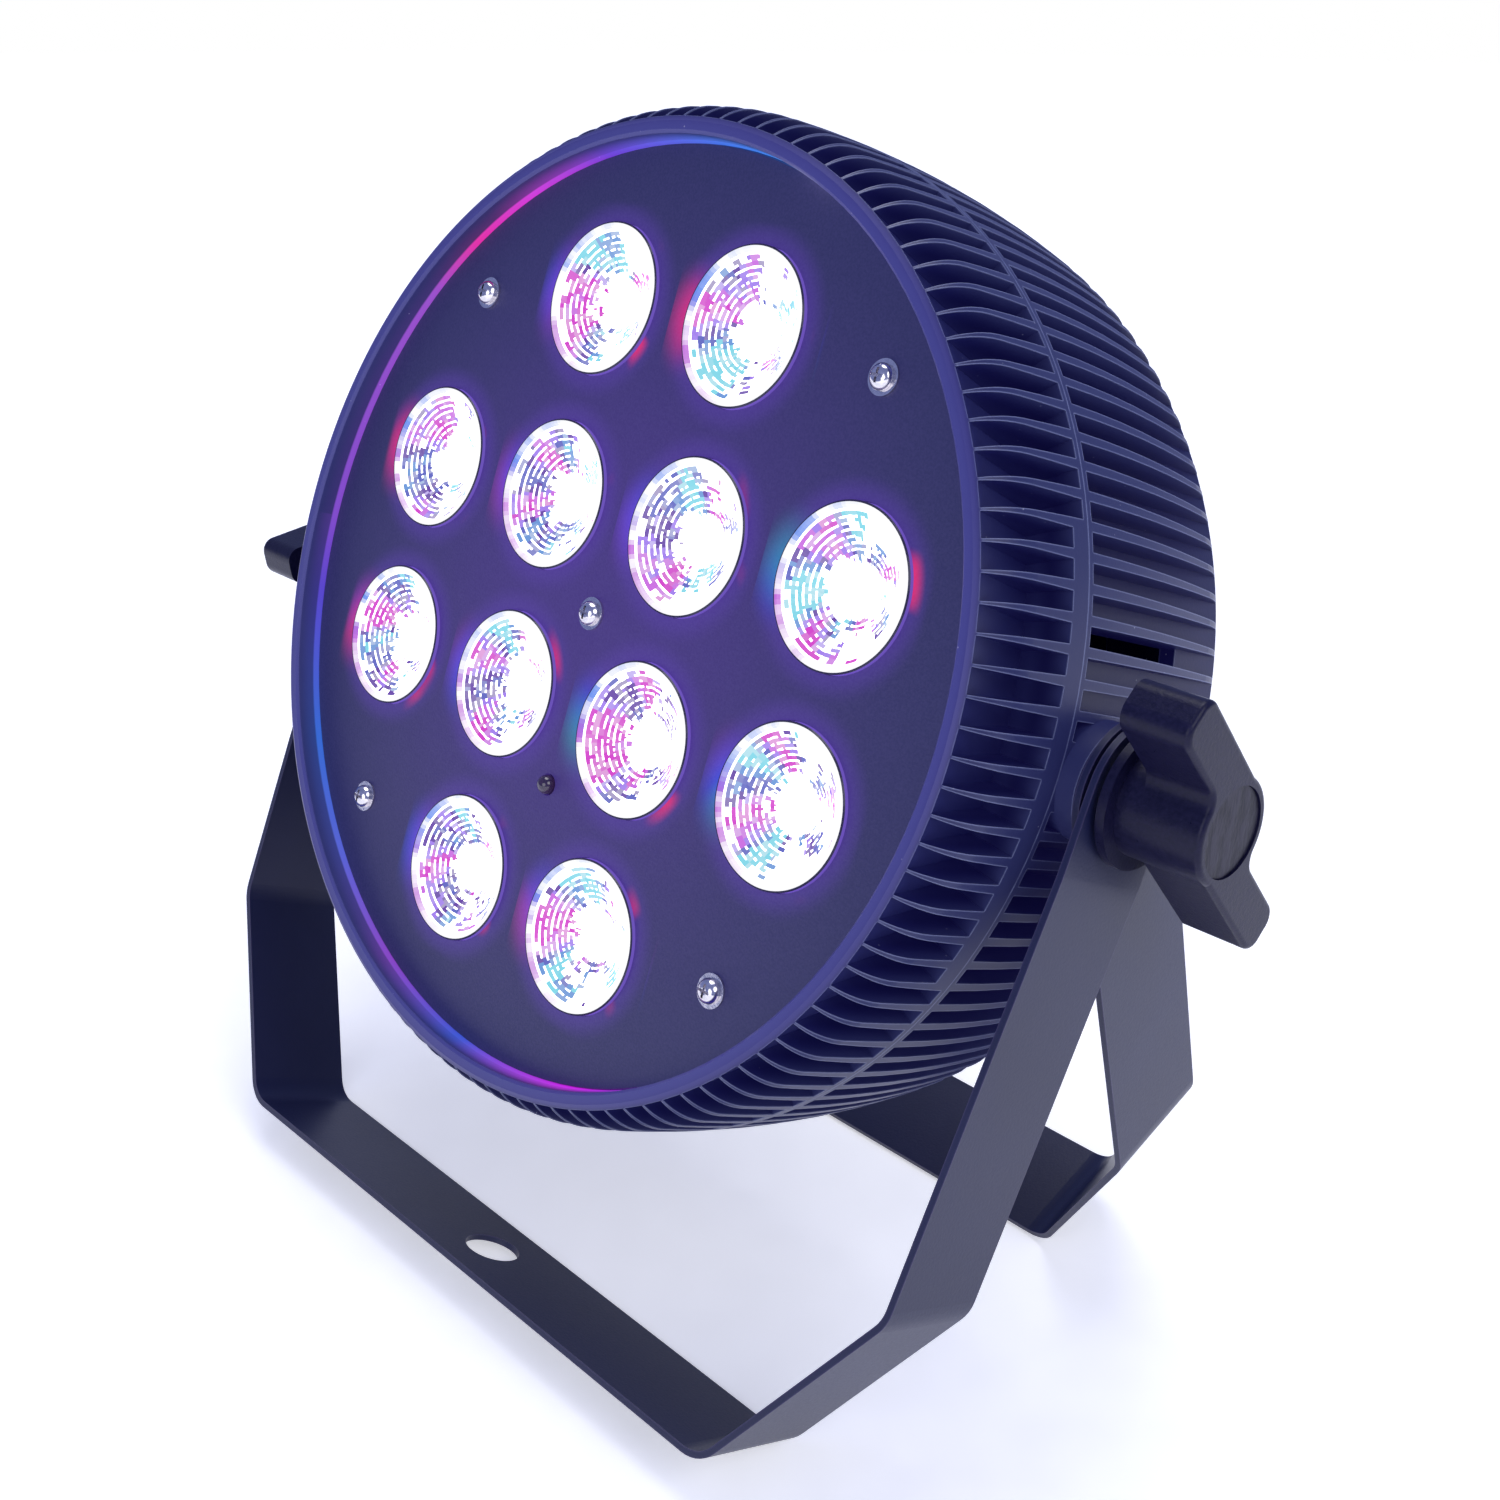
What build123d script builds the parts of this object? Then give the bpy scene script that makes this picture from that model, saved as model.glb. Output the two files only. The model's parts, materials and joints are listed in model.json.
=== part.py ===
from build123d import *
from math import acos, atan2, cos, degrees, hypot, radians, sin
import os

# LED par can light: a round ribbed head that tilts between two strap brackets.
# Millimetres, +Z up, the lenses face -Y. The head's own parts are drawn level,
# in a frame whose origin is the middle of the pivot axis (X right, Y back, Z up),
# and are tilted and lifted onto the brackets at the end.

# ---------------------------------------------------------------- driving sizes
HEAD_TILT = 21.2            # the lenses look up by this angle, degrees
FRONT_LEAN = 25.5           # the front bracket leans forward from the pivot, degrees

LENS_PITCH = 45.0
LENS_R = 17.2
LENS_FACE_Y = -33.8         # the lens faces, in front of the pivot axis
LENS_FLANGE_R = 18.4
LENS_TIP_R = 6.0

RIM_FRONT_Y = -39.3
RIM_R = 107.7
RECESS_R = 104.0
CROWN_R = 114.6             # widest radius over the ribs
BACK_Y = 55.2
BACK_R = 98.0               # edge of the flat back
WALL = 2.4

RIB_COUNT = 120
RIB_PITCH = 360 / RIB_COUNT
RIB_START_Y = -38.6
RING_FRONT_Y = -13.8        # the connecting ring that hides the parting line
PARTING_Y = -12.5
RING_BACK_Y = -11.2
REAR_VALLEY_END_Y = 47.0    # the rear valleys run out over the rounded rear edge
VALLEY_GAP_FRONT = 5.1      # clear width between two ribs at the rim
VALLEY_GAP_RING = 3.9
VALLEY_GAP_BACK = 4.6
FRONT_FLOOR_R = 102.6       # radius of a front valley's floor beside the ring
REAR_FLOOR_R = 108.2        # radius of a rear valley's floor beside the ring
REAR_FLOOR_END_R = 109.9
PAD_ANGLE = 23.0            # valleys this near the pivots stop short of the ring
PAD_FRONT_Y = -17.3
SLOT_ANGLES = (13.5, 166.5, 193.5, 346.5)   # the rear valleys that are open air slots
SLOT_END_Y = 29.5

PANEL_R = 103.6
PANEL_THICK = 1.5
PANEL_FACE_Y = LENS_FACE_Y + 1.0
PANEL_BACK_Y = PANEL_FACE_Y + PANEL_THICK
PANEL_SCREW_R = 89.7
IR_Z = -39.8

BOARD_FACE_Y = -14.0
BOARD_THICK = 1.6
BOARD_R = 85.5
SINK_FACE_Y = BOARD_FACE_Y + BOARD_THICK + 0.1
SINK_PLATE = 4.0
SINK_BACK_Y = SINK_FACE_Y + SINK_PLATE
SINK_FIN_END_Y = 10.0
SINK_R = 90.0

POST_R = 94.0               # circle of the screws that join the two shells
POST_ANGLES = (30, 90, 150, 210, 270, 330)

STRAP_WIDTH = 28.6
STRAP_THICK = 1.5
STRAP_BEND_R = 9.0
FRONT_DROP = 158.9          # pivot axis to the underside of the front bracket's bar
FRONT_FOOT = 88.4           # half length of its straight bar
FRONT_KNEE = (119.9, 110.4) # half width and drop of the knee above the chamfer
FRONT_TOP_X = 123.5         # outer face of the leg at the pivot
REAR_DROP = 153.9
REAR_FOOT = 85.8
REAR_KNEE = (116.4, 102.9)
REAR_TOP_X = 121.2
STRAIGHT_DROP = 18.0        # the legs are square to the pivot down to here
HANGING_HOLE_R = 6.75
PIVOT_HOLE_R = 4.08

BOLT_R = 4.0
BOSS_R = 12.3
BOSS_FACE_X = 118.3
INSERT_R = 6.5
INSERT_LENGTH = 16.0
KNOB_FACE_X = 145.2
KNOB_WING_X = 131.0
KNOB_BASE_X = 124.7
KNOB_HUB_R = 11.0
WING_REACH = 31.5
WING_ANGLE = 28.5
WING_WIDTH = 10.3

FAN_SIZE = 80.0
FAN_FRONT_Y = 10.4
FAN_DEPTH = 20.0
FAN_ROTOR_R = 36.0
FAN_HUB_R = 17.0
FAN_BLADES = 7

REAR_PLATE_R = 88.0
REAR_PLATE_THICK = 1.5
REAR_PLATE_Y = BACK_Y - REAR_PLATE_THICK
REAR_OPENING_R = 80.0
REAR_SCREW_R = 84.0
DISPLAY_Z = 62.0
DISPLAY_SIZE = (34.0, 15.0)
BUTTON_Z = 45.0
BUTTON_XS = (-24.0, -8.0, 8.0, 24.0)
BUTTON_NAMES = ("menu", "down", "up", "enter")
BUTTON_R = 3.5
BUTTON_TRAVEL = 0.6
CONTROL_BOARD_Y = 43.0
MAINS_X = -38.0
SIGNAL_IN_X = 8.0
SIGNAL_OUT_X = 36.0
SOCKET_Z = -50.0

POST_SIZE = 4.5
CAP_R = 9.0
BOLT_HEAD_X = 134.0
LENS_TIP_Y = BOARD_FACE_Y - 0.6
MAINS_BODY = (27.0, 19.5)
FUSE_X = -14.0
SIGNAL_R = 11.8
SIGNAL_PIN_PLACES = ((-4.0, 2.3), (4.0, 2.3), (0.0, -4.6))
LEDGE_Y = PANEL_BACK_Y + 0.05
LEDGE_R = 97.0
FRONT_INNER_R = FRONT_FLOOR_R - WALL
REAR_INNER_R = REAR_FLOOR_R - WALL

# --------------------------------------------------------------- placing helpers
LENS_CENTRES = [
    (LENS_PITCH * column, LENS_PITCH * row)
    for row in (1.5, 0.5, -0.5, -1.5)
    for column in (-1.5, -0.5, 0.5, 1.5)
    if abs(row) + abs(column) < 3
]
PANEL_SCREWS = [(0.0, 0.0)] + [
    (PANEL_SCREW_R * cos(radians(angle)), PANEL_SCREW_R * sin(radians(angle)))
    for angle in (45, 135, 225, 315)
]
POSTS = [(POST_R * cos(radians(a)), POST_R * sin(radians(a))) for a in POST_ANGLES]
SIDES = (1, -1)
VALLEY_ANGLES = [RIB_PITCH * (index + 0.5) for index in range(RIB_COUNT)]
FAN_SCREWS = [(x, z) for x in (-35.75, 35.75) for z in (-35.75, 35.75)]
REAR_SCREWS = [
    (REAR_SCREW_R * cos(radians(angle)), REAR_SCREW_R * sin(radians(angle)))
    for angle in range(0, 360, 60)
]
PIVOT_HEIGHT = FRONT_DROP * cos(radians(FRONT_LEAN)) + STRAP_WIDTH / 2 * sin(radians(FRONT_LEAN))
REAR_REACH = hypot(REAR_DROP, STRAP_WIDTH / 2)      # pivot axis to the rear bar's inner edge
REAR_LEAN = degrees(atan2(STRAP_WIDTH / 2, REAR_DROP) + acos(PIVOT_HEIGHT / REAR_REACH))


def ends(side, near, far):
    """Two distances along X on the right (side 1) or left (side -1), lower one first."""
    return sorted((side * near, side * far))


def rod(radius, y_front, y_back, x=0.0, z=0.0):
    """A round bar along Y between two depths."""
    length = y_back - y_front
    return Pos(x, y_front + length / 2, z) * Rot(90, 0, 0) * Cylinder(radius, length)


def cross_rod(radius, x_near, x_far, y=0.0, z=0.0):
    """A round bar along X between two distances."""
    length = x_far - x_near
    return Pos(x_near + length / 2, y, z) * Rot(0, 90, 0) * Cylinder(radius, length)


def block(x_size, y_front, y_back, z_size, x=0.0, z=0.0):
    """A box between two depths, centred on x and z."""
    depth = y_back - y_front
    return Pos(x, y_front + depth / 2, z) * Box(x_size, depth, z_size)


def turned(*points):
    """A solid of revolution about the Y axis from (depth, radius) corners."""
    outline = Polyline(*[(radius, depth) for depth, radius in points], close=True)
    return revolve(make_face(outline), Axis.Y)


def spread(shape, places):
    """Copies of a shape at several (x, z) places."""
    return [Pos(x, 0, z) * shape for x, z in places]


def group(shapes):
    """Several separate solids in one node."""
    return Compound([shape.solid() for shape in shapes])


# ------------------------------------------------------------------------ shells
def rib_envelope():
    """The outline over the ribs: rim corner, long crown and rounded rear edge, all arcs."""
    crown = ThreePointArc((CROWN_R - 1.7, -28), (CROWN_R, -3), (CROWN_R - 2.2, 38))
    rim_corner = TangentArc((CROWN_R - 1.7, -28), (RIM_R, RIB_START_Y), tangent=-(crown % 0))
    rear_corner = TangentArc((CROWN_R - 2.2, 38), (BACK_R, BACK_Y), tangent=crown % 1)
    return [rim_corner, crown, rear_corner]


def valley_cutter(side_outline, y_front, y_back, gap_front, gap_back):
    """A tapered slot between two ribs, standing on the +Z side of the head."""
    side = make_face(Plane.YZ * Polyline(*side_outline, close=True))
    plan = make_face(Polyline(
        (-gap_front / 2, y_front), (gap_front / 2, y_front),
        (gap_back / 2, y_back), (-gap_back / 2, y_back), close=True,
    ))
    return extrude(side, 8, both=True) & extrude(plan, 140)


def from_pivot(angle):
    """Angle between a direction round the head and the nearer pivot."""
    return min(angle % 180, 180 - angle % 180)


def around(shape, angles):
    """Copies of a shape that stands on +Z, turned about Y to angles from +X."""
    return [Rot(0, 90 - angle, 0) * shape for angle in angles]


def front_valley(y_end):
    """A front valley: its floor starts at the rim's edge and sinks towards the ring."""
    slope = (FRONT_FLOOR_R - RIM_R) / (RING_FRONT_Y - RIB_START_Y)
    floor_end = RIM_R + slope * (y_end - RIB_START_Y)
    side = [(RIB_START_Y, RIM_R), (y_end, floor_end), (y_end, 130), (RIB_START_Y, 130)]
    return valley_cutter(side, RIB_START_Y, y_end, VALLEY_GAP_FRONT, VALLEY_GAP_RING)


def rear_valley(slot_end_y):
    """A shallow rear valley that runs out at the rear edge, open as a slot up to slot_end_y."""
    slope = (REAR_FLOOR_END_R - REAR_FLOOR_R) / (REAR_VALLEY_END_Y - RING_BACK_Y)
    slot_end_r = REAR_FLOOR_R + slope * (slot_end_y - RING_BACK_Y)
    floor = [(slot_end_y, slot_end_r), (REAR_VALLEY_END_Y, REAR_FLOOR_END_R)]
    if slot_end_y > RING_BACK_Y:
        floor = [(RING_BACK_Y, 95), (slot_end_y, 95)] + floor
    side = floor + [(REAR_VALLEY_END_Y, 130), (RING_BACK_Y, 130)]
    return valley_cutter(side, RING_BACK_Y, REAR_VALLEY_END_Y, VALLEY_GAP_RING, VALLEY_GAP_BACK)


def front_shell():
    """Rim, recess wall, panel ledge and the front halves of the ribs."""
    outer = [
        Line((RECESS_R + 0.6, RIM_FRONT_Y), (RIM_R - 1.2, RIM_FRONT_Y)),
        Line((RIM_R - 1.2, RIM_FRONT_Y), (RIM_R, RIB_START_Y)),
    ]
    inside = Polyline(
        (BACK_R, BACK_Y), (FRONT_INNER_R, BACK_Y), (FRONT_INNER_R, LEDGE_Y + 5),
        (LEDGE_R, LEDGE_Y + 2.2), (LEDGE_R, LEDGE_Y), (RECESS_R, LEDGE_Y),
        (RECESS_R, RIM_FRONT_Y + 0.6), (RECESS_R + 0.6, RIM_FRONT_Y),
    )
    body = revolve(make_face(outer + rib_envelope() + [inside]), Axis.Y)
    body -= block(300, PARTING_Y, BACK_Y + 5, 300)
    far = [angle for angle in VALLEY_ANGLES if from_pivot(angle) >= PAD_ANGLE]
    near = [angle for angle in VALLEY_ANGLES if from_pivot(angle) < PAD_ANGLE]
    body = body - (around(front_valley(RING_FRONT_Y), far) + around(front_valley(PAD_FRONT_Y), near))
    body = body + [rod(POST_SIZE, LEDGE_Y + 1, SINK_FACE_Y - 0.05, x, z) for x, z in POSTS]
    return body - [rod(2.03, SINK_FACE_Y - 14, SINK_FACE_Y + 1, x, z) for x, z in POSTS]


def rear_shell():
    """Rear halves of the ribs, four air slots beside the pivots, pivot bosses and the flat back."""
    back_inner_y = BACK_Y - 4.0
    inside = Polyline(
        (BACK_R, BACK_Y), (REAR_PLATE_R + 0.2, BACK_Y), (REAR_PLATE_R + 0.2, REAR_PLATE_Y - 0.05),
        (REAR_OPENING_R, REAR_PLATE_Y - 0.05), (REAR_OPENING_R, back_inner_y),
        (BACK_R + 1, back_inner_y), (REAR_INNER_R, 44.5), (REAR_INNER_R, RIB_START_Y),
        (RIM_R, RIB_START_Y),
    )
    body = revolve(make_face(rib_envelope() + [inside]), Axis.Y)
    body -= block(300, RIB_START_Y - 5, PARTING_Y, 300)
    closed = [angle for angle in VALLEY_ANGLES if angle not in SLOT_ANGLES]
    valleys = around(rear_valley(RING_BACK_Y), closed) + around(rear_valley(SLOT_END_Y), SLOT_ANGLES)
    body = body - valleys
    body = body + [cross_rod(BOSS_R, *ends(side, BOSS_FACE_X - 19, BOSS_FACE_X)) for side in SIDES]
    body = body + [rod(POST_SIZE, SINK_BACK_Y + 0.05, back_inner_y + 1, x, z) for x, z in POSTS]
    holes = [rod(2.15, SINK_BACK_Y - 1, BACK_Y + 1, x, z) for x, z in POSTS]
    holes += [rod(3.9, BACK_Y - 2.6, BACK_Y + 1, x, z) for x, z in POSTS]
    holes += [rod(1.33, BACK_Y - 3, BACK_Y + 1, x, z) for x, z in REAR_SCREWS]
    holes += [cross_rod(INSERT_R + 0.02, *ends(side, 60, 130)) for side in SIDES]
    return body - holes


# ----------------------------------------------------------------- optics in front
def front_panel():
    """The flat disc that the lenses look through."""
    holes = [rod(LENS_R + 0.15, -60, 0, x, z) for x, z in LENS_CENTRES]
    holes += [rod(1.7, -60, 0, x, z) for x, z in PANEL_SCREWS]
    holes.append(rod(2.5, -60, 0, 0, IR_Z))
    return rod(PANEL_R, PANEL_FACE_Y, PANEL_BACK_Y) - holes


def lens():
    """One collimator: flat face, retaining flange and a cone down to its emitter."""
    flange_y = PANEL_BACK_Y + 0.05
    return turned(
        (LENS_FACE_Y, 0), (LENS_FACE_Y, LENS_R - 0.4), (LENS_FACE_Y + 0.4, LENS_R),
        (flange_y, LENS_R), (flange_y, LENS_FLANGE_R), (flange_y + 1.2, LENS_FLANGE_R),
        (flange_y + 1.2, LENS_R - 0.3), (LENS_TIP_Y, LENS_TIP_R + 0.7), (LENS_TIP_Y, LENS_TIP_R),
        (LENS_TIP_Y - 4, LENS_TIP_R - 0.4), (LENS_TIP_Y - 4, 0),
    )


def lens_holder():
    """The black cup that stands on the board and carries one lens."""
    top_y = PANEL_BACK_Y + 1.3
    foot_y = BOARD_FACE_Y - 0.02
    return turned(
        (top_y, LENS_R + 0.3), (top_y, LENS_R + 2.2), (top_y + 2, LENS_R + 2.2),
        (foot_y, LENS_TIP_R + 4.2), (foot_y, LENS_TIP_R + 1.4),
    )


def panel_screw():
    """A pan-head screw with a cross recess; its washer is a piece of its own."""
    head_y = PANEL_FACE_Y - 0.65
    outline = make_face([
        Line((0, head_y), (2.75, head_y)),
        Line((2.75, head_y), (2.75, head_y - 0.6)),
        ThreePointArc((2.75, head_y - 0.6), (2.1, head_y - 1.6), (0, head_y - 1.9)),
        Line((0, head_y - 1.9), (0, head_y)),
    ])
    screw = revolve(outline, Axis.Y) + rod(1.45, head_y, head_y + 10)
    cross = block(3.0, head_y - 3, head_y - 0.8, 0.6) + block(0.6, head_y - 3, head_y - 0.8, 3.0)
    return screw - cross


def panel_washer():
    return rod(3.7, PANEL_FACE_Y - 0.63, PANEL_FACE_Y - 0.02) - rod(1.7, -60, 0)


def standoff():
    """A pillar from the heat sink to the front panel, tapped for a panel screw."""
    pillar = rod(3.5, PANEL_BACK_Y + 0.02, SINK_FACE_Y - 0.02)
    pillar += rod(1.9, SINK_FACE_Y - 0.02, SINK_FACE_Y + 3)
    return pillar - rod(1.48, PANEL_BACK_Y - 1, PANEL_BACK_Y + 9)


def led_board():
    board = rod(BOARD_R, BOARD_FACE_Y, BOARD_FACE_Y + BOARD_THICK)
    return board - rod(3.9, BOARD_FACE_Y - 1, SINK_FACE_Y)


def led_emitter():
    base = block(7.4, BOARD_FACE_Y - 1.4, BOARD_FACE_Y - 0.02, 7.4)
    return base + rod(3.2, BOARD_FACE_Y - 2.4, BOARD_FACE_Y - 1.4)


def heat_sink():
    """A round plate with ears for the screws and straight upright fins behind."""
    sink = rod(SINK_R, SINK_FACE_Y, SINK_BACK_Y)
    ears = [rod(5.0, SINK_FACE_Y, SINK_BACK_Y, x, z) for x, z in POSTS + PANEL_SCREWS[1:]]
    fins = []
    for index in range(-8, 9):
        x = 9.0 * index
        height = 2 * (80.0 ** 2 - x ** 2) ** 0.5
        fins.append(block(1.6, SINK_BACK_Y - 0.5, SINK_FIN_END_Y, height, x=x))
    pillars = [block(9.0, SINK_BACK_Y - 0.5, SINK_FIN_END_Y, 9.0, x, z) for x, z in FAN_SCREWS]
    sink = sink + (ears + fins + pillars)
    holes = [rod(2.15, SINK_FACE_Y - 1, SINK_BACK_Y + 1, x, z) for x, z in POSTS]
    holes += [rod(1.95, SINK_FACE_Y - 1, SINK_FACE_Y + 3.1, x, z) for x, z in PANEL_SCREWS]
    holes += [rod(1.95, SINK_FIN_END_Y - 11, SINK_FIN_END_Y + 1, x, z) for x, z in FAN_SCREWS]
    return sink - holes


def ir_receiver():
    """The remote control's eye, whose dome stands just out of the panel."""
    dome = Pos(0, PANEL_FACE_Y - 0.3, IR_Z) * Sphere(2.2) & block(9, -60, PANEL_FACE_Y, 9, z=IR_Z)
    stem = rod(2.2, PANEL_FACE_Y - 0.3, PANEL_BACK_Y + 0.5, 0, IR_Z)
    return dome + stem + block(6.0, PANEL_BACK_Y + 0.1, PANEL_BACK_Y + 4, 6.0, z=IR_Z)


def ir_board():
    return block(12, PANEL_BACK_Y + 4.02, PANEL_BACK_Y + 5.2, 10, z=IR_Z)


# ------------------------------------------------------------- brackets and pivots
def strap_bracket(drop, foot, knee, top_x):
    """A flat strap bent into a U: rounded eyes, straight legs, chamfers and a bar."""
    half = STRAP_THICK / 2
    corners = [
        (top_x - half, STRAP_WIDTH / 2), (top_x - half, -STRAIGHT_DROP),
        (knee[0] - half, -knee[1]), (foot, half - drop),
    ]
    mirrored = [(-x, z) for x, z in reversed(corners)]
    centre_line = FilletPolyline(*corners, *mirrored, radius=STRAP_BEND_R)
    strap = extrude(Plane.XZ * trace(centre_line, STRAP_THICK), STRAP_WIDTH / 2, both=True)
    side_view = Circle(STRAP_WIDTH / 2) + Pos(0, -drop / 2) * Rectangle(STRAP_WIDTH, drop)
    strap &= extrude(Plane.YZ * side_view, 140, both=True)
    hanging_hole = Pos(0, 0, -drop) * Cylinder(HANGING_HOLE_R, 20)
    return strap - cross_rod(PIVOT_HOLE_R, -140, 140) - hanging_hole


def friction_washers():
    """Washers each side: between the boss and the inner leg, and between the two legs."""
    washers = []
    for side in SIDES:
        for near, far in ((BOSS_FACE_X + 0.05, REAR_TOP_X - STRAP_THICK - 0.05),
                          (REAR_TOP_X + 0.05, FRONT_TOP_X - STRAP_THICK - 0.05)):
            hole = cross_rod(BOLT_R + 0.3, *ends(side, 60, 130))
            washers.append(cross_rod(11.0, *ends(side, near, far)) - hole)
    return group(washers)


def pivot_insert():
    """A brass sleeve in the right-hand boss, tapped for the knob's bolt."""
    sleeve = cross_rod(INSERT_R, BOSS_FACE_X - INSERT_LENGTH, BOSS_FACE_X)
    return sleeve - cross_rod(BOLT_R + 0.06, 60, 130)


def knob():
    """The right-hand clamp knob: a hub on a flange and two offset wings."""
    offset = WING_WIDTH / 2 + 0.3
    wing = Pos(WING_REACH / 2 - 2, -offset) * RectangleRounded(WING_REACH + 4, WING_WIDTH, 3.6)
    outline = Circle(KNOB_HUB_R) + wing + Rot(0, 0, 180) * wing
    waist = [v for v in outline.vertices() if abs(v.Y) < 1.0 and abs(v.X) > 8]
    outline = fillet(waist, 4.0)
    face_plane = Plane(
        origin=(KNOB_WING_X, 0, 0),
        x_dir=(0, -cos(radians(WING_ANGLE)), sin(radians(WING_ANGLE))), z_dir=(1, 0, 0),
    )
    wings = extrude(face_plane * outline, KNOB_FACE_X - KNOB_WING_X)
    front_edges = wings.faces().sort_by(Axis.X)[-1].edges()
    wings = fillet(front_edges, 1.1)
    body = wings + cross_rod(KNOB_HUB_R, KNOB_BASE_X, KNOB_WING_X + 1)
    body += cross_rod(14.0, KNOB_BASE_X, KNOB_BASE_X + 2.0)
    body -= cross_rod(CAP_R + 0.1, KNOB_FACE_X - 1.2, KNOB_FACE_X + 1)
    hexagon = Plane.YZ * RegularPolygon(6.6, 6, major_radius=False)
    body -= Pos(BOLT_HEAD_X - 0.05, 0, 0) * extrude(hexagon, 20)
    return body - cross_rod(BOLT_R + 0.05, 100, 140)


def knob_bolt():
    hexagon = Plane.YZ * RegularPolygon(6.5, 6, major_radius=False)
    head = Pos(BOLT_HEAD_X, 0, 0) * extrude(hexagon, 5.3)
    return head + cross_rod(BOLT_R, BOSS_FACE_X - INSERT_LENGTH + 1, BOLT_HEAD_X)


def knob_cap():
    return cross_rod(CAP_R, KNOB_FACE_X - 1.15, KNOB_FACE_X - 0.45)


def knob_washer():
    return cross_rod(9.0, FRONT_TOP_X + 0.1, KNOB_BASE_X - 0.05) - cross_rod(BOLT_R + 0.3, 100, 140)


# ------------------------------------------------------------------- cooling inside
def fan_frame():
    """A square fan housing with its motor mount on four spokes."""
    end = FAN_FRONT_Y + FAN_DEPTH
    frame = block(FAN_SIZE, FAN_FRONT_Y, end, FAN_SIZE) - rod(FAN_ROTOR_R + 1.8, -60, 60)
    mount = rod(FAN_HUB_R, end - 2, end)
    spokes = Rot(0, 45, 0) * (block(82, end - 2, end, 3) + block(3, end - 2, end, 82))
    frame = frame + mount + spokes
    pin = rod(1.5, end - 12, end - 1.9)
    return frame + pin - [rod(2.1, -60, 60, x, z) for x, z in FAN_SCREWS]


def fan_rotor():
    """Hub and seven pitched blades on the fan's pin."""
    front = FAN_FRONT_Y + 2.0
    back = FAN_FRONT_Y + FAN_DEPTH - 3.0
    blade = Pos(0, (front + back) / 2, (FAN_HUB_R + FAN_ROTOR_R) / 2 - 1)
    blade *= Rot(0, 0, 40) * Box(1.6, 15, FAN_ROTOR_R - FAN_HUB_R + 1)
    blades = [Rot(0, 360 / FAN_BLADES * index, 0) * blade for index in range(FAN_BLADES)]
    rotor = rod(FAN_HUB_R, front, back) + blades
    return rotor - rod(1.56, back - 10, back + 5)


def fan_screw():
    end = FAN_FRONT_Y + FAN_DEPTH
    return rod(3.4, end + 0.05, end + 2.2) + rod(1.9, SINK_FIN_END_Y - 9, end + 0.06)


# ---------------------------------------------------------------- rear plate group
def rear_plate():
    """The round plate in the back: fan slots, display, buttons and sockets."""
    plate = rod(REAR_PLATE_R, REAR_PLATE_Y, BACK_Y)
    cuts = []
    for row in range(-5, 6):
        z = 6.0 * row
        length = 2 * (35.0 ** 2 - z ** 2) ** 0.5
        cuts.append(block(length, 40, 60, 3.2, z=z))
    cuts.append(block(DISPLAY_SIZE[0], 40, 60, DISPLAY_SIZE[1], z=DISPLAY_Z))
    cuts += [rod(BUTTON_R + 0.3, 40, 60, x, BUTTON_Z) for x in BUTTON_XS]
    cuts.append(block(MAINS_BODY[0] + 0.3, 40, 60, MAINS_BODY[1] + 0.3, MAINS_X, SOCKET_Z))
    cuts.append(block(9.3, 40, 60, 12.3, FUSE_X, SOCKET_Z))
    cuts += [rod(SIGNAL_R + 0.15, 40, 60, x, SOCKET_Z) for x in (SIGNAL_IN_X, SIGNAL_OUT_X)]
    cuts += [rod(1.6, 40, 60, x, z) for x, z in REAR_SCREWS]
    return plate - cuts


def rear_plate_screw():
    return rod(2.6, BACK_Y + 0.02, BACK_Y + 1.7) + rod(1.3, REAR_PLATE_Y - 1.4, BACK_Y + 0.03)


def shell_screw():
    """A long screw that joins the two shells through an ear of the heat sink."""
    head = rod(3.5, BACK_Y - 2.55, BACK_Y - 0.2) - block(4.6, BACK_Y - 1.4, 60, 0.9)
    return head + rod(2.0, SINK_FACE_Y - 12, BACK_Y - 2.54)


def display_window():
    width, height = DISPLAY_SIZE
    flange = block(width + 4, REAR_PLATE_Y - 1.3, REAR_PLATE_Y - 0.05, height + 4, z=DISPLAY_Z)
    return flange + block(width - 0.3, REAR_PLATE_Y - 0.1, BACK_Y + 0.4, height - 0.3, z=DISPLAY_Z)


def display_module():
    width, height = DISPLAY_SIZE
    board_back = CONTROL_BOARD_Y + 1.6
    return block(width, board_back + 0.02, REAR_PLATE_Y - 1.4, height, z=DISPLAY_Z)


def control_board():
    return block(88, CONTROL_BOARD_Y, CONTROL_BOARD_Y + 1.6, 32, z=54.0)


def control_board_spacers():
    pillar = rod(2.6, CONTROL_BOARD_Y + 1.62, REAR_PLATE_Y - 0.02)
    return group(spread(pillar, [(x, z) for x in (-40, 40) for z in (42, 65)]))


def button():
    stem = rod(BUTTON_R, 49.5, BACK_Y + 1.5)
    return stem + rod(BUTTON_R + 0.9, REAR_PLATE_Y - 2.1, REAR_PLATE_Y - 0.3)


def button_switches():
    base = CONTROL_BOARD_Y + 1.62
    switch = block(6.2, base, base + 3.4, 6.2) + rod(1.7, base + 3.3, 48.8)
    return group(spread(switch, [(x, BUTTON_Z) for x in BUTTON_XS]))


def mains_inlet():
    """A three-pin mains socket with a flange outside the plate."""
    width, height = MAINS_BODY
    body = block(width, 32, BACK_Y + 1, height)
    body += block(width + 5, BACK_Y + 0.03, BACK_Y + 2.2, height + 5)
    body -= block(width - 4, BACK_Y - 13, BACK_Y + 5, height - 4)
    return Pos(MAINS_X, 0, SOCKET_Z) * body


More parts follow.
